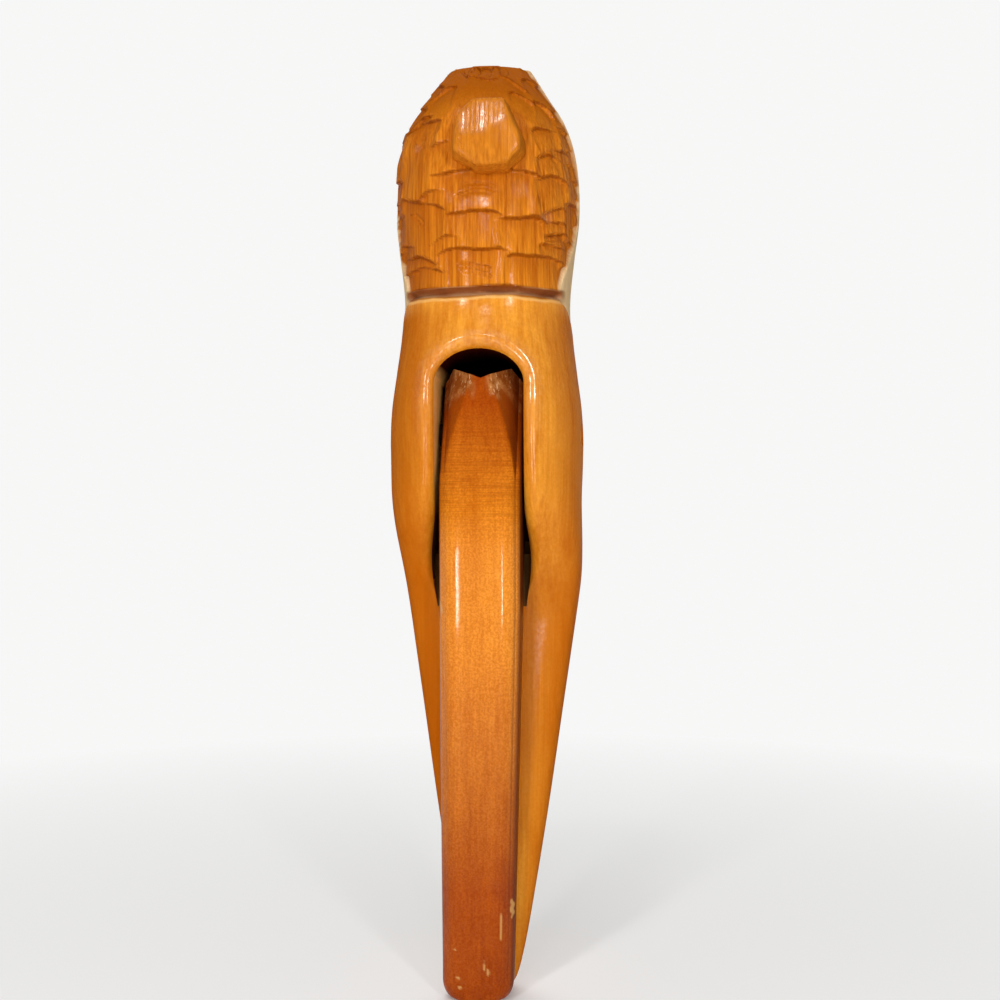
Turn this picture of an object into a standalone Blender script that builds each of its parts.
"""A carved wooden lever nutcracker in the form of a standing figure.

The figure stands head up and faces -Y. Its back, the lever and the bun of hair face +Y.
The lever turns on a dowel across the torso, and the lever's front end is the figure's lower jaw.
"""

import math

import bmesh
import bpy
import numpy as np

MM = 0.001

# Heights of the carved block
HANDLE_END_Z = 1.5 * MM
SEAT_Z = 104 * MM
SHOULDER_Z = 147 * MM
COLLAR_Z = 185.6 * MM
HAIR_END_Z = 187.8 * MM
CROWN_Z = 250 * MM

# Half widths of the carved block at its landmarks
HANDLE_END_HALF_WIDTH = 5.2 * MM
SEAT_HALF_WIDTH = 22.9 * MM
SHOULDER_HALF_WIDTH = 26.2 * MM
NECK_HALF_WIDTH = 22.9 * MM
HEAD_HALF_WIDTH = 25.1 * MM
CROWN_HALF_WIDTH = 11.9 * MM

# Depths of the carved block, forward and back of the middle plane
HANDLE_FRONT = 12.8 * MM
HANDLE_BACK = 7.6 * MM
CHEST_FRONT = 23.4 * MM
SHOULDER_BACK = 25.3 * MM
FACE_FRONT = 24.2 * MM
HEAD_BACK = 23.4 * MM
CROWN_FRONT = 12.5 * MM
CROWN_BACK = 4.5 * MM
FRONT_ROUNDNESS = 2.15
BACK_ROUNDNESS = 2.3
HANDLE_BACK_ROUNDNESS = 4.5

# The slot lies a little to one side of the shoulders' middle, and the handle to the other
SLOT_X = 0.8 * MM
HANDLE_X = -1.8 * MM
SLOT_WIDTH = 23.5 * MM
ARCH_SPRING_Z = 162.7 * MM
ARCH_APEX_Z = 171.8 * MM
FOOT_FLARE = 1.5 * MM
FLARE_Z = 116 * MM
FLARE_REACH = 15 * MM
RIM_RADIUS = 4.5 * MM
RIM_OVERCUT = 0.25 * MM
RIM_LIFT = 0.15 * MM
RIM_FOOT_LIFT = 1.2 * MM
SEAT_BITE = 0.5 * MM
RIM_FOOT_Z = 105.5 * MM
MOUTH_Z = 160.5 * MM
LIP_WALL = 4.4 * MM

# The lever and the jaw at its front end
LEVER_X = 0.4 * MM
LEVER_WIDTH = 21.6 * MM
LEVER_SEAT_GAP = 0.4 * MM
LEVER_END_WIDTH = 18.8 * MM
LEVER_END_X = 1.6 * MM
LEVER_END_ROUND = 3.2 * MM
LEVER_END_ROUND_LENGTH = 5.5 * MM
LEVER_CROWN = 1.1 * MM
LEVER_THICKNESS = 14.6 * MM
LEVER_END_THICKNESS = 9.6 * MM
LEVER_EDGE_RADIUS = 4.6 * MM
LEVER_TOP_BACK_Y = 24.4 * MM
GABLE_Z = 136.5 * MM
GABLE_RIDGE_WIDTH = 5.0 * MM
GABLE_SLOPE = 1.25
NOTCH_Z = 164.2 * MM
HORN_RISE = 3.0 * MM
HORN_X = 7.7 * MM
HORN_FALL = 3.6 * MM
CHIN_Z = 146 * MM
CHIN_UNDERSIDE_Z = 137 * MM
HEEL_Z = 114.5 * MM
NUT_SEAT_DEPTH = 6.4 * MM
NUT_SEAT_RADIUS = 9.4 * MM

# The dowel that the lever turns on
PIVOT_Y = 4 * MM
PIVOT_Z = 150 * MM
PIN_DIAMETER = 6 * MM
PIN_GAP = 0.3 * MM
PIN_RECESS = 0.15 * MM
SWING_GAP = 1.0 * MM

# Features of the head
NOSE_REACH = 6.3 * MM
LIP_REACH = 2.3 * MM
CHIN_REACH = 2.6 * MM
EYE_SPACING = 19 * MM
BUN_X = -1.8 * MM
BUN_Z = 226.2 * MM
BUN_DIAMETER = 18.4 * MM
BUN_REACH = 7.1 * MM
HAIR_EDGE_Y = 5 * MM
# Each flat side of the bun, as seen from behind: its turn in degrees and its share of the radius
BUN_SIDES = (
    (2, 1.0),
    (25, 0.86),
    (90, 1.0),
    (135, 0.99),
    (168, 0.95),
    (182, 1.0),
    (239, 1.02),
    (273, 1.0),
    (319, 1.09),
)
NECK_GROOVE_DEPTH = 1.6 * MM
BUN_HOLLOW_HALF_WIDTH = 13.5 * MM
BUN_HOLLOW_HALF_HEIGHT = 14.5 * MM
BUN_HOLLOW_DEPTH = 1.7 * MM
HAIR_SINK = 0.4 * MM
GOUGE_BOW = 0.7
# The gouge cuts seen on the back of the head: place round the head from the middle of the back,
# height of the upper edge, half width, length and depth, all in millimetres, and tilt in degrees
BACK_GOUGES = (
    (1.6, 217.5, 13.0, 12.5, 1.6, 0),
    (-2.4, 206.9, 6.4, 9.8, 1.5, 0),
    (10.6, 205.3, 7.2, 9.4, 1.6, 0),
    (-2.7, 197.4, 8.2, 10.5, 1.5, 0),
    (11.1, 195.9, 6.0, 8.8, 1.5, -2),
    (-19.3, 231.8, 7.6, 21.0, 1.5, 0),
    (-18.2, 210.6, 9.8, 15.0, 1.4, 12),
    (-19.0, 207.0, 2.8, 4.2, 1.6, 32),
    (-20.4, 196.2, 8.2, 5.0, 1.4, 9),
    (-17.3, 193.2, 8.0, 8.6, 1.5, 4),
    (-22.5, 232.4, 6.4, 4.0, 1.6, -20),
    (-16.5, 241.0, 6.2, 9.0, 1.4, -18),
    (-11.0, 247.4, 5.6, 8.0, 1.2, 30),
    (11.4, 243.6, 7.2, 7.2, 1.2, 24),
    (13.4, 238.4, 5.4, 8.4, 1.4, 18),
    (23.0, 236.0, 5.2, 12.0, 1.3, 25),
    (19.5, 229.4, 5.6, 6.6, 1.3, -6),
    (20.0, 221.9, 5.6, 5.4, 1.3, 0),
    (20.5, 216.6, 6.2, 8.6, 1.5, 0),
    (21.2, 208.4, 5.0, 4.0, 1.1, -10),
    (22.0, 205.2, 5.2, 3.4, 1.2, 4),
    (22.5, 202.3, 5.2, 3.6, 1.3, -4),
    (22.0, 199.2, 5.6, 4.2, 1.3, 0),
    (21.5, 195.8, 6.2, 9.0, 1.5, 0),
    (30.0, 231.0, 3.8, 9.0, 1.2, 6),
    (30.5, 221.6, 3.8, 10.0, 1.2, -4),
    (30.5, 211.0, 3.8, 9.5, 1.2, 4),
    (30.0, 201.0, 3.8, 9.0, 1.2, 0),
    (-29.8, 228.0, 3.8, 9.5, 1.3, -8),
    (-30.6, 217.8, 3.8, 9.0, 1.2, 5),
    (-30.4, 208.6, 3.8, 9.5, 1.3, -4),
    (-29.6, 198.4, 3.8, 8.5, 1.3, 8),
    (4.4, 244.4, 6.0, 4.4, 0.9, -6),
    (-2.6, 248.2, 2.2, 4.6, 1.0, 38),
    (1.6, 248.2, 2.2, 4.4, 1.0, 38),
    (5.6, 248.4, 2.2, 4.4, 1.0, 42),
    (9.6, 248.4, 2.2, 4.2, 1.0, 46),
)

# Fineness of the solids
BACK_SEGMENTS = 38
FRONT_SEGMENTS = 34
BODY_SEGMENTS = BACK_SEGMENTS + FRONT_SEGMENTS
LEVER_SEGMENTS = 28
SLOT_STATIONS = 12
RIM_STATIONS = 14
FLOOR_STEPS = 8
RIM_STEPS = 3
PIN_SEGMENTS = 24
CUT_WELD = 0.02 * MM


def mix(low, high, share):
    """The value that lies the given share of the way from low to high."""
    return low + (high - low) * share


def smooth(low, high, value):
    """Rises smoothly from 0 at low to 1 at high."""
    share = min(1.0, max(0.0, (value - low) / (high - low)))
    return share * share * (3 - 2 * share)


def mound(value, middle, reach):
    """A smooth bump: 1 at the middle, 0 from the reach outwards."""
    share = min(1.0, abs(value - middle) / reach)
    return (1 - share * share) ** 2


def along(stations, height):
    """The value at a height on the smooth line through stations of (height, value)."""
    if height <= stations[0][0]:
        return stations[0][1]
    if height >= stations[-1][0]:
        return stations[-1][1]
    index = max(i for i in range(len(stations) - 1) if stations[i][0] <= height)

    def slope(i):
        before = stations[max(i - 1, 0)]
        after = stations[min(i + 1, len(stations) - 1)]
        return (after[1] - before[1]) / (after[0] - before[0])

    (low, low_value), (high, high_value) = stations[index], stations[index + 1]
    span = high - low
    t = (height - low) / span
    return (
        low_value * (1 + 2 * t) * (1 - t) ** 2
        + slope(index) * span * t * (1 - t) ** 2
        + high_value * t * t * (3 - 2 * t)
        + slope(index + 1) * span * t * t * (t - 1)
    )


def half_width_stations():
    return [
        (HANDLE_END_Z, HANDLE_END_HALF_WIDTH),
        (mix(HANDLE_END_Z, SEAT_Z, 0.03), HANDLE_END_HALF_WIDTH + 1.6 * MM),
        (mix(HANDLE_END_Z, SEAT_Z, 0.105), mix(HANDLE_END_HALF_WIDTH, SEAT_HALF_WIDTH, 0.2)),
        (mix(HANDLE_END_Z, SEAT_Z, 0.25), mix(HANDLE_END_HALF_WIDTH, SEAT_HALF_WIDTH, 0.35)),
        (mix(HANDLE_END_Z, SEAT_Z, 0.475), mix(HANDLE_END_HALF_WIDTH, SEAT_HALF_WIDTH, 0.56)),
        (mix(HANDLE_END_Z, SEAT_Z, 0.72), mix(HANDLE_END_HALF_WIDTH, SEAT_HALF_WIDTH, 0.765)),
        (SEAT_Z, SEAT_HALF_WIDTH),
        (mix(SEAT_Z, SHOULDER_Z, 0.25), mix(SEAT_HALF_WIDTH, SHOULDER_HALF_WIDTH, 0.42)),
        (mix(SEAT_Z, SHOULDER_Z, 0.55), mix(SEAT_HALF_WIDTH, SHOULDER_HALF_WIDTH, 0.76)),
        (SHOULDER_Z, SHOULDER_HALF_WIDTH),
        (mix(SHOULDER_Z, COLLAR_Z, 0.25), mix(SHOULDER_HALF_WIDTH, NECK_HALF_WIDTH, 0.13)),
        (mix(SHOULDER_Z, COLLAR_Z, 0.5), mix(SHOULDER_HALF_WIDTH, NECK_HALF_WIDTH, 0.5)),
        (mix(SHOULDER_Z, COLLAR_Z, 0.75), mix(SHOULDER_HALF_WIDTH, NECK_HALF_WIDTH, 0.85)),
        (COLLAR_Z, NECK_HALF_WIDTH),
        (mix(COLLAR_Z, CROWN_Z, 0.2), mix(NECK_HALF_WIDTH, HEAD_HALF_WIDTH, 0.45)),
        (mix(COLLAR_Z, CROWN_Z, 0.37), HEAD_HALF_WIDTH),
        (mix(COLLAR_Z, CROWN_Z, 0.54), HEAD_HALF_WIDTH - 0.3 * MM),
        (mix(COLLAR_Z, CROWN_Z, 0.67), mix(CROWN_HALF_WIDTH, HEAD_HALF_WIDTH, 0.86)),
        (mix(COLLAR_Z, CROWN_Z, 0.77), mix(CROWN_HALF_WIDTH, HEAD_HALF_WIDTH, 0.67)),
        (mix(COLLAR_Z, CROWN_Z, 0.87), mix(CROWN_HALF_WIDTH, HEAD_HALF_WIDTH, 0.37)),
        (CROWN_Z, CROWN_HALF_WIDTH),
    ]


def front_stations():
    return [
        (HANDLE_END_Z, HANDLE_END_HALF_WIDTH - 1.6 * MM),
        (mix(HANDLE_END_Z, SEAT_Z, 0.105), 0.6 * HANDLE_FRONT),
        (mix(HANDLE_END_Z, SEAT_Z, 0.475), HANDLE_FRONT),
        (SEAT_Z, mix(HANDLE_FRONT, CHEST_FRONT, 0.62)),
        (SHOULDER_Z, CHEST_FRONT),
        (mix(SHOULDER_Z, CROWN_Z, 0.35), FACE_FRONT),
        (mix(SHOULDER_Z, CROWN_Z, 0.68), FACE_FRONT - 0.6 * MM),
        (mix(SHOULDER_Z, CROWN_Z, 0.86), mix(CROWN_FRONT, FACE_FRONT, 0.72)),
        (CROWN_Z, CROWN_FRONT),
    ]


def back_stations():
    return [
        (HANDLE_END_Z, HANDLE_BACK - 1.2 * MM),
        (mix(HANDLE_END_Z, SEAT_Z, 0.475), HANDLE_BACK),
        (mix(HANDLE_END_Z, SEAT_Z, 0.92), HANDLE_BACK + 0.8 * MM),
        (SEAT_Z, HANDLE_BACK + 1.3 * MM),
        (mix(SEAT_Z, SHOULDER_Z, 0.25), mix(HANDLE_BACK, SHOULDER_BACK, 0.28)),
        (mix(SEAT_Z, SHOULDER_Z, 0.52), mix(HANDLE_BACK, SHOULDER_BACK, 0.6)),
        (mix(SEAT_Z, SHOULDER_Z, 0.78), mix(HANDLE_BACK, SHOULDER_BACK, 0.84)),
        (mix(SHOULDER_Z, COLLAR_Z, 0.2), SHOULDER_BACK),
        (mix(SHOULDER_Z, COLLAR_Z, 0.5), SHOULDER_BACK - 0.9 * MM),
        (mix(SHOULDER_Z, COLLAR_Z, 0.8), SHOULDER_BACK - 3.6 * MM),
        (COLLAR_Z, HEAD_BACK - 2.6 * MM),
        (mix(COLLAR_Z, CROWN_Z, 0.22), HEAD_BACK - 0.9 * MM),
        (mix(COLLAR_Z, CROWN_Z, 0.5), HEAD_BACK),
        (mix(COLLAR_Z, CROWN_Z, 0.68), HEAD_BACK - 0.9 * MM),
        (mix(COLLAR_Z, CROWN_Z, 0.8), mix(CROWN_BACK, HEAD_BACK, 0.76)),
        (mix(COLLAR_Z, CROWN_Z, 0.91), mix(CROWN_BACK, HEAD_BACK, 0.42)),
        (CROWN_Z, CROWN_BACK),
    ]


HALF_WIDTHS = half_width_stations()
FRONTS = front_stations()
BACKS = back_stations()


def middle_x(height):
    """The handle is carved a little off the middle of the shoulders and head."""
    return HANDLE_X * (1 - smooth(mix(SEAT_Z, SHOULDER_Z, 0.1), mix(SEAT_Z, SHOULDER_Z, 0.75), height))


def middle_y(height):
    """Where the block is widest, between its front and back."""
    front, back = along(FRONTS, height), along(BACKS, height)
    return mix(-front, back, mix(0.62, 0.5, smooth(SEAT_Z, SHOULDER_Z, height)))


def roundness(height, to_the_back):
    if not to_the_back:
        return FRONT_ROUNDNESS
    return mix(HANDLE_BACK_ROUNDNESS, BACK_ROUNDNESS, smooth(SEAT_Z, SHOULDER_Z, height))


def side_reach(x, height, to_the_back):
    """The y of the smooth block's front or back at a place across and a height."""
    half = along(HALF_WIDTHS, height)
    share = min(1.0, abs(x - middle_x(height)) / half)
    power = roundness(height, to_the_back)
    depth = (1 - share**power) ** (1 / power)
    edge = along(BACKS, height) if to_the_back else -along(FRONTS, height)
    return mix(middle_y(height), edge, depth)


def hair_edge_y(height):
    """The hair covers the block behind this line."""
    nape = 1 - smooth(HAIR_END_Z, mix(HAIR_END_Z, CROWN_Z, 0.28), height)
    crown = smooth(mix(HAIR_END_Z, CROWN_Z, 0.75), CROWN_Z, height)
    return HAIR_EDGE_Y + 6 * MM * nape - 3 * MM * crown


def collar_height(y):
    """The garment's edge: level round the nape, then falling past the cheeks to under the chin."""
    nape_end, cheek = 11 * MM, -8 * MM
    if y >= cheek:
        return mix(COLLAR_Z - 12 * MM, COLLAR_Z, smooth(cheek, nape_end, y))
    fall = smooth(cheek, -CHEST_FRONT, y)
    return mix(COLLAR_Z - 12 * MM, CHIN_UNDERSIDE_Z - 4 * MM, fall)


def scoop_depth(around, height, scoop):
    """Depth of one gouge cut: a steep upper edge, then a floor that rises to nothing."""
    place, top, half_width, length, depth, tilt = scoop
    lean = math.radians(tilt)
    across, up = around / MM - place, height / MM - top
    along_cut = (across * math.cos(lean) - up * math.sin(lean)) / half_width
    above = across * math.sin(lean) + up * math.cos(lean) + GOUGE_BOW * along_cut**2
    fall = 2 * above if above > 0 else -depth * above / length
    side = 5 * max(0, abs(along_cut) - 0.8)
    return MM * (depth - fall - side)


def bun_hollow(around, height):
    """Depth of the smooth hollow that the bun sits in."""
    across = (around + BUN_X) / BUN_HOLLOW_HALF_WIDTH
    up = (height - BUN_Z) / BUN_HOLLOW_HALF_HEIGHT
    return BUN_HOLLOW_DEPTH * (1 - across**2 - up**2)


def filling_gouges():
    """Smaller gouge cuts that fill the rest of the hair, in rows, kept clear of the ones above."""
    rng = np.random.default_rng(11)
    cuts = []
    for row in range(10):
        for column in range(-6, 7):
            place = column * 7.2 + 3.6 * (row % 2) + rng.uniform(-1.2, 1.2)
            top = 193 + 6.4 * row + rng.uniform(-1.2, 1.2)
            half_width, length = rng.uniform(4.2, 5.4), rng.uniform(6.5, 8.5)
            depth, tilt = rng.uniform(0.9, 1.2), rng.uniform(-16, 16)
            spot = place * MM, (top - 2.5) * MM
            covered = max(scoop_depth(*spot, cut) for cut in BACK_GOUGES)
            if max(covered, bun_hollow(*spot)) < 0.1 * MM:
                cuts.append((place, top, half_width, length, depth, tilt))
    return tuple(cuts)


HAIR_GOUGES = BACK_GOUGES + filling_gouges()


def hair_cut(around, height):
    """Depth of the hair's gouge cuts, which meet in ridges and steps."""
    deepest = max(-0.25 * MM, bun_hollow(around, height))
    return max(deepest, max(scoop_depth(around, height, scoop) for scoop in HAIR_GOUGES))


def face_relief(x, height):
    """How far the face stands out from the smooth block: brow, eyes, nose, cheeks, lips and chin."""
    x = abs(x)
    eye_z = mix(CHIN_Z - 5 * MM, CROWN_Z, 0.5)
    nose_z = mix(eye_z, CHIN_Z - 5 * MM, 0.5)
    eye_x = EYE_SPACING / 2
    bridge = smooth(nose_z - 1.6 * MM, nose_z + 2.4 * MM, height)
    bridge *= 1 - 0.78 * smooth(nose_z + 3 * MM, eye_z + 8 * MM, height)
    bridge *= 1 - smooth(eye_z + 5 * MM, eye_z + 11 * MM, height)
    nose_half = mix(5.2 * MM, 3.4 * MM, smooth(nose_z, eye_z, height))
    relief = NOSE_REACH * bridge * mound(x, 0, nose_half)
    relief -= 2.6 * MM * mound(x, eye_x, 8.6 * MM) * mound(height, eye_z + 1 * MM, 7.5 * MM)
    relief += 1.9 * MM * mound(x, eye_x, 5.2 * MM) * mound(height, eye_z, 3.6 * MM)
    relief += 0.9 * MM * mound(x, eye_x, 10 * MM) * mound(height, eye_z + 8.6 * MM, 3.6 * MM)
    relief += 1.0 * MM * mound(x, eye_x + 4 * MM, 8 * MM) * mound(height, eye_z - 12 * MM, 9 * MM)
    relief += LIP_REACH * mound(x, 0, 11 * MM) * mound(height, MOUTH_Z + 1.4 * MM, 3.8 * MM)
    relief += LIP_REACH * mound(x, 0, 10.5 * MM) * mound(height, MOUTH_Z - 2.4 * MM, 4.2 * MM)
    relief += CHIN_REACH * mound(x, 0, 10 * MM) * mound(height, CHIN_Z, 8 * MM)
    return relief


def front_y(x, height):
    """The face and chest as carved, which the jaw's front carries on when the mouth is shut."""
    return side_reach(x, height, False) - face_relief(x - middle_x(height), height)


def collection(name):
    group = bpy.data.collections.new(name)
    bpy.context.scene.collection.children.link(group)
    return group


def material(name, colour, roughness, coat):
    finish = bpy.data.materials.new(name)
    finish.use_nodes = True
    shader = finish.node_tree.nodes["Principled BSDF"]
    shader.inputs["Base Color"].default_value = (*colour, 1)
    shader.inputs["Roughness"].default_value = roughness
    shader.inputs["Metallic"].default_value = 0
    shader.inputs["Coat Weight"].default_value = coat
    return finish


def add_object(name, mesh_edit, group, *finishes):
    """Makes an object from a bmesh, with its faces pointing outwards."""
    bmesh.ops.recalc_face_normals(mesh_edit, faces=mesh_edit.faces)
    if mesh_edit.calc_volume(signed=True) < 0:
        bmesh.ops.reverse_faces(mesh_edit, faces=mesh_edit.faces)
    mesh = bpy.data.meshes.new(name)
    mesh_edit.to_mesh(mesh)
    mesh_edit.free()
    for finish in finishes:
        mesh.materials.append(finish)
    piece = bpy.data.objects.new(name, mesh)
    group.objects.link(piece)
    return piece


def add_cutter(name, mesh_edit, group, finish):
    cutter = add_object(name, mesh_edit, group, finish)
    cutter.hide_render = True
    cutter.display_type = "WIRE"
    return cutter


def combine(piece, other, operation, solver="EXACT"):
    boolean = piece.modifiers.new(other.name, "BOOLEAN")
    boolean.operation = operation
    boolean.solver = solver
    boolean.object = other


def weld_cuts(piece):
    """Merges the points that cuts leave almost on top of each other."""
    weld = piece.modifiers.new("cut_edges", "WELD")
    weld.merge_threshold = CUT_WELD


def ringed_cylinder(segments, rings):
    """A closed unit cylinder cut into rings, and its points as rows from the bottom to the top."""
    mesh_edit = bmesh.new()
    bmesh.ops.create_cone(
        mesh_edit, cap_ends=True, segments=segments, radius1=1, radius2=1, depth=1
    )
    uprights = [e for e in mesh_edit.edges if abs(e.verts[0].co.z - e.verts[1].co.z) > 0.5]
    bmesh.ops.subdivide_edges(mesh_edit, edges=uprights, cuts=rings - 2)
    rows = [[None] * segments for _ in range(rings)]
    for point in mesh_edit.verts:
        row = round((point.co.z + 0.5) * (rings - 1))
        turn = math.atan2(point.co.y, point.co.x) / (2 * math.pi)
        rows[row][round(turn * segments) % segments] = point
    return mesh_edit, rows


def prism(outline, place, low, high):
    """A closed prism: place turns an outline point and a distance along the prism into x, y, z."""
    mesh_edit = bmesh.new()
    ends = [[mesh_edit.verts.new(place(point, end)) for point in outline] for end in (low, high)]
    mesh_edit.faces.new(ends[0])
    mesh_edit.faces.new(ends[1])
    bmesh.ops.bridge_loops(mesh_edit, edges=[e for e in mesh_edit.edges])
    return mesh_edit


def across_x(point, x):
    """Places a side outline's (y, z) point at x."""
    return (x, point[0], point[1])


def along_y(point, y):
    """Places a back outline's (x, z) point at y."""
    return (point[0], y, point[1])


def cylinder_across(diameter, low, high):
    """A closed cylinder along X about the pivot."""
    mesh_edit, rows = ringed_cylinder(PIN_SEGMENTS, 2)
    for row, x in zip(rows, (low, high)):
        for index, point in enumerate(row):
            turn = 2 * math.pi * index / PIN_SEGMENTS
            y = PIVOT_Y + diameter / 2 * math.cos(turn)
            point.co = (x, y, PIVOT_Z + diameter / 2 * math.sin(turn))
    return mesh_edit


def body_heights():
    """Heights of the block's rings, closer together where the face and hair are carved."""
    bands = (
        (HANDLE_END_Z, mix(HANDLE_END_Z, SEAT_Z, 0.06), 2),
        (mix(HANDLE_END_Z, SEAT_Z, 0.06), SEAT_Z, 9),
        (SEAT_Z, CHIN_UNDERSIDE_Z, 6),
        (CHIN_UNDERSIDE_Z, MOUTH_Z, 6),
        (MOUTH_Z, COLLAR_Z, 10),
        (COLLAR_Z, HAIR_END_Z, 2),
        (HAIR_END_Z, CROWN_Z, 30),
    )
    heights = [mix(low, high, i / count) for low, high, count in bands for i in range(count)]
    return heights + [CROWN_Z]


def ring_turn(index):
    """Angle of a point round the block, with the points closest together down the face."""
    if index < BACK_SEGMENTS:
        return math.pi * index / BACK_SEGMENTS
    share = (index - BACK_SEGMENTS) / FRONT_SEGMENTS
    return math.pi * (1 + share + 0.1 * math.sin(2 * math.pi * share))


def carved_point(turn, height):
    """A point of the carved block: turn is 0 at +X and a quarter turn at the back."""
    across, deep = math.cos(turn), math.sin(turn)
    to_the_back = deep > 0
    power = 2 / roundness(height, to_the_back)
    centre_x, centre_y = middle_x(height), middle_y(height)
    edge = along(BACKS, height) if to_the_back else -along(FRONTS, height)
    x = along(HALF_WIDTHS, height) * math.copysign(abs(across) ** power, across)
    y = (edge - centre_y) * abs(deep) ** power
    in_hair = centre_y + y > hair_edge_y(height)
    cut = 0.0
    if in_hair and height > HAIR_END_Z:
        fade = smooth(CROWN_Z, CROWN_Z - 4 * MM, height)
        cut = (HAIR_SINK + hair_cut((turn - math.pi / 2) * HEAD_HALF_WIDTH, height)) * fade
    if in_hair and abs(height - mix(COLLAR_Z, HAIR_END_Z, 0.5)) < 0.2 * MM:
        cut = NECK_GROOVE_DEPTH
    shrink = 1 - cut / math.hypot(x, y)
    x, y = x * shrink, y * shrink
    if not to_the_back and height > SEAT_Z:
        y -= face_relief(x, height) * smooth(0.0, 0.5, -deep)
    return (centre_x + x, centre_y + y, height)


def make_block(group, garment, skin, hair):
    """The figure's head, torso and handle as one closed skin, before the slot is cut."""
    heights = body_heights()
    mesh_edit, rows = ringed_cylinder(BODY_SEGMENTS, len(heights))
    for row, height in zip(rows, heights):
        for index, point in enumerate(row):
            point.co = carved_point(ring_turn(index), height)
    for face in mesh_edit.faces:
        centre = face.calc_center_median()
        if centre.z < collar_height(centre.y):
            face.material_index = 0
        elif centre.y < hair_edge_y(centre.z) or centre.z < HAIR_END_Z:
            face.material_index = 1
        else:
            face.material_index = 2
    return add_object("body", mesh_edit, group, garment, skin, hair)


def make_bun(group, hair):
    """A round knob of hair with eight flat sides and a front of two planes that meet in a ridge."""
    mesh_edit = bmesh.new()
    depth = 16 * MM
    bmesh.ops.create_cube(mesh_edit, size=2 * BUN_DIAMETER)
    cuts = [((0.08, 0.93, 0.33), BUN_REACH), ((-0.06, 0.95, -0.26), BUN_REACH)]
    for degrees, share in BUN_SIDES:
        turn = math.radians(degrees)
        reach = share * BUN_DIAMETER / 2
        cuts.append(((-math.cos(turn), 0.12, math.sin(turn)), reach))
        edge = (-0.72 * math.cos(turn), 0.7, 0.72 * math.sin(turn))
        cuts.append((edge, 1.13 * reach))
    for normal, reach in cuts:
        length = math.hypot(*normal)
        unit = [part / length for part in normal]
        bmesh.ops.bisect_plane(
            mesh_edit,
            geom=mesh_edit.verts[:] + mesh_edit.edges[:] + mesh_edit.faces[:],
            plane_co=[part * reach for part in unit],
            plane_no=unit,
            clear_outer=True,
        )
        bmesh.ops.holes_fill(mesh_edit, edges=[e for e in mesh_edit.edges if e.is_boundary])
    back_y = side_reach(BUN_X, BUN_Z, True)
    for point in mesh_edit.verts:
        if point.co.y < 0:
            point.co.y = max(point.co.y, -depth)
    bmesh.ops.translate(mesh_edit, verts=mesh_edit.verts, vec=(BUN_X, back_y, BUN_Z))
    return add_cutter("bun_form", mesh_edit, group, hair)


def jaw_reach():
    """Distance from the pivot to the jaw's furthest point, which the slot's floor has to clear."""
    heights = [mix(CHIN_UNDERSIDE_Z, MOUTH_Z, i / 12) for i in range(13)]
    return max(math.hypot(front_y(LEVER_X, z) - PIVOT_Y, z - PIVOT_Z) for z in heights)


def slot_side_outline():
    """Side outline of the slot as (y, z): open at the mouth, floored by an arc about the pivot."""
    far = 60 * MM
    wall_y = side_reach(SLOT_X, MOUTH_Z, False) + LIP_WALL
    reach = jaw_reach() + SWING_GAP
    outline = [(wall_y, CROWN_Z), (wall_y, MOUTH_Z), (-far, MOUTH_Z)]
    start = math.radians(26)
    outline.append((-far, PIVOT_Z - reach * math.sin(start)))
    for step in range(FLOOR_STEPS + 1):
        turn = mix(start, math.pi / 2, step / FLOOR_STEPS)
        outline.append((PIVOT_Y - reach * math.cos(turn), PIVOT_Z - reach * math.sin(turn)))
    seat_y = along(BACKS, SEAT_Z)
    outline.append((seat_y - SEAT_BITE, SEAT_Z))
    outline.append((seat_y + 2 * MM, SEAT_Z - 8 * MM))
    outline.append((far, SEAT_Z - 8 * MM))
    outline.append((far, CROWN_Z))
    return outline


def slot_half_width(height):
    """Half the slot's width, which flares at the foot."""
    return SLOT_WIDTH / 2 + FOOT_FLARE * mound(height, FLARE_Z, FLARE_REACH)


def slot_outline(growth, foot, steps):
    """Outline of the slot's mouth as (x, z), seen from behind: tall sides under a flat arch."""
    half = SLOT_WIDTH / 2 + growth
    rise = ARCH_APEX_Z - ARCH_SPRING_Z + growth
    outline = []
    for step in range(steps + 1):
        turn = math.pi * step / steps
        outline.append((SLOT_X + half * math.cos(turn), ARCH_SPRING_Z + rise * math.sin(turn)))
    sides = [mix(ARCH_SPRING_Z, foot, step / steps) for step in range(1, steps + 1)]
    left = [(SLOT_X - slot_half_width(z) - growth, z) for z in sides]
    right = [(SLOT_X + slot_half_width(z) + growth, z) for z in reversed(sides)]
    return outline + left + right


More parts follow.
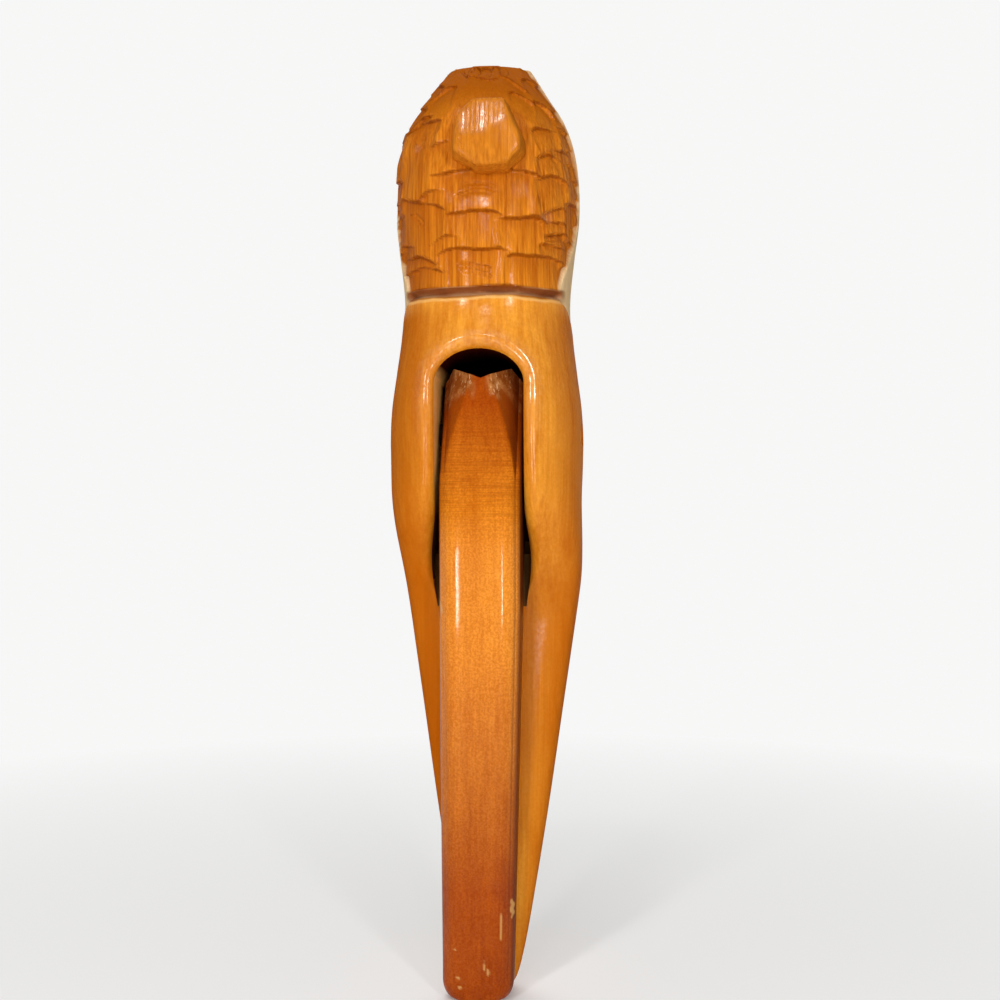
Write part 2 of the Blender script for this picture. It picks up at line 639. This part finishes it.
def make_rim_cutter(group, finish):
    """Rounds the edge of the slot's mouth over, following the block's back."""
    rings = [(RIM_RADIUS, -12 * MM)]
    for step in range(RIM_STEPS + 1):
        turn = math.pi / 2 * step / RIM_STEPS
        growth = RIM_RADIUS * (1 - math.sin(turn)) - RIM_OVERCUT
        sink = RIM_RADIUS * (1 - math.cos(turn)) - RIM_LIFT
        rings.append((growth, sink))
    rings.append((-1.2 * MM, RIM_RADIUS + 0.1 * MM))
    foot, full = SEAT_Z - 4 * MM, SEAT_Z + 20 * MM
    outlines = [(slot_outline(growth, RIM_FOOT_Z, RIM_STATIONS), sink) for growth, sink in rings]
    mesh_edit, rows = ringed_cylinder(len(outlines[0][0]), len(outlines))
    for row, (outline, sink) in zip(rows, outlines):
        for point, (x, z) in zip(row, outline):
            share = smooth(foot, full, z)
            inward = mix(-RIM_FOOT_LIFT, sink, share) if sink > -RIM_FOOT_LIFT else sink
            point.co = (x, side_reach(x, z, True) - inward, z)
    return add_cutter("rim_form", mesh_edit, group, finish)


def make_body(parts, forms, garment, skin, hair, raw):
    """The carved block with its bun, slot, rounded rim and pin hole."""
    body = make_block(parts, garment, skin, hair)
    combine(body, make_bun(forms, hair), "UNION")
    arch = prism(slot_outline(0, SEAT_Z - 14 * MM, SLOT_STATIONS), along_y, -50 * MM, 50 * MM)
    slot = add_cutter("slot_form", arch, forms, raw)
    half = SLOT_WIDTH / 2 + 5 * MM
    side = prism(slot_side_outline(), across_x, SLOT_X - half, SLOT_X + half)
    combine(slot, add_cutter("slot_side_form", side, forms, raw), "INTERSECT")
    combine(body, slot, "DIFFERENCE")
    combine(body, make_rim_cutter(forms, garment), "DIFFERENCE", "MANIFOLD")
    hole = cylinder_across(PIN_DIAMETER + 2 * PIN_GAP, -60 * MM, 60 * MM)
    combine(body, add_cutter("body_hole_form", hole, forms, raw), "DIFFERENCE")
    weld_cuts(body)
    return body


def lever_seat_y(height):
    """The lever's front face where it lies along the handle's back."""
    return along(BACKS, min(height, SEAT_Z)) + LEVER_SEAT_GAP


def lever_back_y(height):
    """The lever's back: a long slight bow, then straight up into the slot."""
    end = lever_seat_y(0) + LEVER_END_THICKNESS
    seat = lever_seat_y(SEAT_Z) + LEVER_THICKNESS
    stations = [
        (0, end - 1.6 * MM),
        (0.05 * SEAT_Z, end),
        (0.5 * SEAT_Z, mix(end, seat, 0.52)),
        (SEAT_Z, seat),
        (mix(SEAT_Z, GABLE_Z, 0.6), LEVER_TOP_BACK_Y + 0.2 * MM),
        (GABLE_Z, LEVER_TOP_BACK_Y),
        (NOTCH_Z, LEVER_TOP_BACK_Y - 5.4 * MM),
    ]
    return along(stations, height)


def gable_cut(x, height):
    """How far the chamfers each side of the gable's ridge cut the lever's back away."""
    rise = smooth(GABLE_Z, GABLE_Z + 4 * MM, height) * (height - GABLE_Z) / (NOTCH_Z - GABLE_Z)
    ridge_half = mix(LEVER_WIDTH / 2, GABLE_RIDGE_WIDTH / 2, min(1.0, rise))
    return GABLE_SLOPE * max(0.0, abs(x) - ridge_half)


def lever_front_y(x, height):
    """The jaw's face above the chin's underside, and the lever's seat on the handle below it."""
    if height >= CHIN_UNDERSIDE_Z:
        return front_y(LEVER_X + x, height)
    share = max(0.0, (height - HEEL_Z) / (CHIN_UNDERSIDE_Z - HEEL_Z))
    return mix(lever_seat_y(height), front_y(LEVER_X + x, CHIN_UNDERSIDE_Z) + 2 * MM, share)


def crown_fall(x, height):
    """How far the lever's crowned back falls away towards its edges."""
    return LEVER_CROWN * (abs(x) / (LEVER_WIDTH / 2)) ** 3 * smooth(0, 12 * MM, height)


def lever_middle_x(height):
    """The lever leans a little across the handle towards its free end."""
    return mix(LEVER_END_X, LEVER_X, min(1.0, height / SEAT_Z))


def lever_half_width(height):
    """Half the lever's width, which tapers and is rounded off at the free end."""
    share = 1 - min(1.0, height / LEVER_END_ROUND_LENGTH)
    round_end = LEVER_END_ROUND * (1 - math.sqrt(1 - share * share))
    return mix(LEVER_END_WIDTH, LEVER_WIDTH, min(1.0, height / SEAT_Z)) / 2 - round_end


def lever_ring(height, segments):
    """Points round the lever at a height: flat sides, well rounded back edges, small front ones."""
    half = lever_half_width(height)
    per_side = segments // 4
    ring = []
    for index in range(segments):
        side, step = divmod(index, per_side)
        swing = -1 + 2 * step / per_side
        across, deep = ((1, swing), (-swing, 1), (-1, -swing), (swing, -1))[side]
        radius = LEVER_EDGE_RADIUS if deep > 0 else 1.2 * MM
        x = half * across
        front = lever_front_y(x, height)
        back = lever_back_y(height) - gable_cut(x, height) - crown_fall(x, height)
        back = max(back, front + 6 * MM)
        y = mix(front, back, (deep + 1) / 2)
        edge = half - abs(x)
        depth = (back - y) if deep > 0 else (y - front)
        if edge < radius and depth < radius:
            away = (radius - edge, radius - depth)
            length = math.hypot(*away)
            pull = radius / max(length, radius)
            x = math.copysign(half - radius + away[0] * pull, x)
            y = (back - radius + away[1] * pull) if deep > 0 else (front + radius - away[1] * pull)
        ring.append((lever_middle_x(height) + x, y, height))
    return ring


def lever_heights():
    top = NOTCH_Z + HORN_RISE + 1 * MM
    bands = (
        (0, 2 * MM, 3),
        (2 * MM, 0.06 * SEAT_Z, 2),
        (0.06 * SEAT_Z, HEEL_Z, 9),
        (HEEL_Z, CHIN_UNDERSIDE_Z - 0.5 * MM, 4),
        (CHIN_UNDERSIDE_Z, MOUTH_Z, 7),
        (MOUTH_Z, top, 3),
    )
    heights = [mix(low, high, i / count) for low, high, count in bands for i in range(count)]
    return heights + [top]


def make_lever(parts, forms, finish, raw):
    """The lever bar with the jaw at its front end, notched on top to hold a nut."""
    heights = lever_heights()
    mesh_edit, rows = ringed_cylinder(LEVER_SEGMENTS, len(heights))
    for row, height in zip(rows, heights):
        for point, place in zip(row, lever_ring(height, LEVER_SEGMENTS)):
            point.co = place
    lever = add_object("jaw_lever", mesh_edit, parts, finish)

    far, side = 60 * MM, LEVER_WIDTH / 2
    horn_z = NOTCH_Z + HORN_RISE
    roof = [(-far, horn_z - HORN_FALL), (-side, horn_z - HORN_FALL), (-HORN_X, horn_z)]
    roof += [(0, NOTCH_Z), (HORN_X, horn_z), (side, horn_z - HORN_FALL), (far, horn_z - HORN_FALL)]
    roof += [(far, CROWN_Z), (-far, CROWN_Z)]
    roof = [(LEVER_X + x, z) for x, z in roof]
    combine(lever, add_cutter("notch_form", prism(roof, along_y, -far, far), forms, raw), "DIFFERENCE")

    lip_z = MOUTH_Z - LEVER_SEAT_GAP
    wall_y = side_reach(SLOT_X, MOUTH_Z, False) + LIP_WALL
    reach = math.hypot(wall_y - PIVOT_Y, MOUTH_Z - PIVOT_Z) - 2 * LEVER_SEAT_GAP
    start = math.asin((lip_z - PIVOT_Z) / reach)
    step_outline = [(-far, lip_z)]
    for step in range(5):
        turn = mix(start, math.radians(48), step / 4)
        step_outline.append((PIVOT_Y - reach * math.cos(turn), PIVOT_Z + reach * math.sin(turn)))
    step_outline += [(step_outline[-1][0], CROWN_Z), (-far, CROWN_Z)]
    lip_step = prism(step_outline, across_x, -far, far)
    combine(lever, add_cutter("lip_step_form", lip_step, forms, raw), "DIFFERENCE")

    bowl = bmesh.new()
    bmesh.ops.create_uvsphere(bowl, u_segments=18, v_segments=10, radius=1)
    bmesh.ops.scale(bowl, verts=bowl.verts, vec=(NUT_SEAT_RADIUS, NUT_SEAT_RADIUS, NUT_SEAT_DEPTH))
    bmesh.ops.translate(bowl, verts=bowl.verts, vec=(LEVER_X, PIVOT_Y - 11 * MM, NOTCH_Z + 0.7 * MM))
    combine(lever, add_cutter("nut_seat_form", bowl, forms, raw), "DIFFERENCE")

    hole = cylinder_across(PIN_DIAMETER + 2 * PIN_GAP, -60 * MM, 60 * MM)
    combine(lever, add_cutter("lever_hole_form", hole, forms, raw), "DIFFERENCE")
    weld_cuts(lever)
    return lever


def make_pin(parts, finish):
    """The dowel, its ends a little below the block's sides."""
    corners = (PIVOT_Y - PIN_DIAMETER / 2, PIVOT_Y + PIN_DIAMETER / 2)
    half = along(HALF_WIDTHS, PIVOT_Z)

    def side_x(y):
        to_the_back = y > middle_y(PIVOT_Z)
        edge = along(BACKS, PIVOT_Z) if to_the_back else -along(FRONTS, PIVOT_Z)
        share = (y - middle_y(PIVOT_Z)) / (edge - middle_y(PIVOT_Z))
        power = roundness(PIVOT_Z, to_the_back)
        return half * (1 - share**power) ** (1 / power)

    reach = min(side_x(y) for y in corners) - PIN_RECESS
    centre = middle_x(PIVOT_Z)
    mesh_edit = cylinder_across(PIN_DIAMETER, centre - reach, centre + reach)
    return add_object("pivot_pin", mesh_edit, parts, finish)


def set_origin(piece, x, y, z):
    """Moves the object's origin to a point without moving its shape."""
    for point in piece.data.vertices:
        point.co.x -= x
        point.co.y -= y
        point.co.z -= z
    piece.location = (x, y, z)


def main():
    for old in list(bpy.data.objects):
        bpy.data.objects.remove(old)
    parts, forms = collection("figural_nutcracker"), collection("carving_forms")
    garment = material("honey_varnish", (0.60, 0.26, 0.06), 0.32, 0.6)
    skin = material("pale_bare_wood", (0.72, 0.52, 0.30), 0.55, 0.1)
    hair = material("red_brown_stain", (0.36, 0.12, 0.03), 0.38, 0.5)
    lever_finish = material("deep_amber_varnish", (0.48, 0.17, 0.03), 0.30, 0.7)
    raw = material("bare_cut_wood", (0.50, 0.28, 0.10), 0.6, 0.0)
    pin_finish = material("dowel_wood", (0.45, 0.22, 0.07), 0.5, 0.2)

    body = make_body(parts, forms, garment, skin, hair, raw)
    lever = make_lever(parts, forms, lever_finish, raw)
    make_pin(parts, pin_finish)
    for piece in (body, lever):
        piece.data.shade_smooth()
    set_origin(lever, 0, PIVOT_Y, PIVOT_Z)


main()
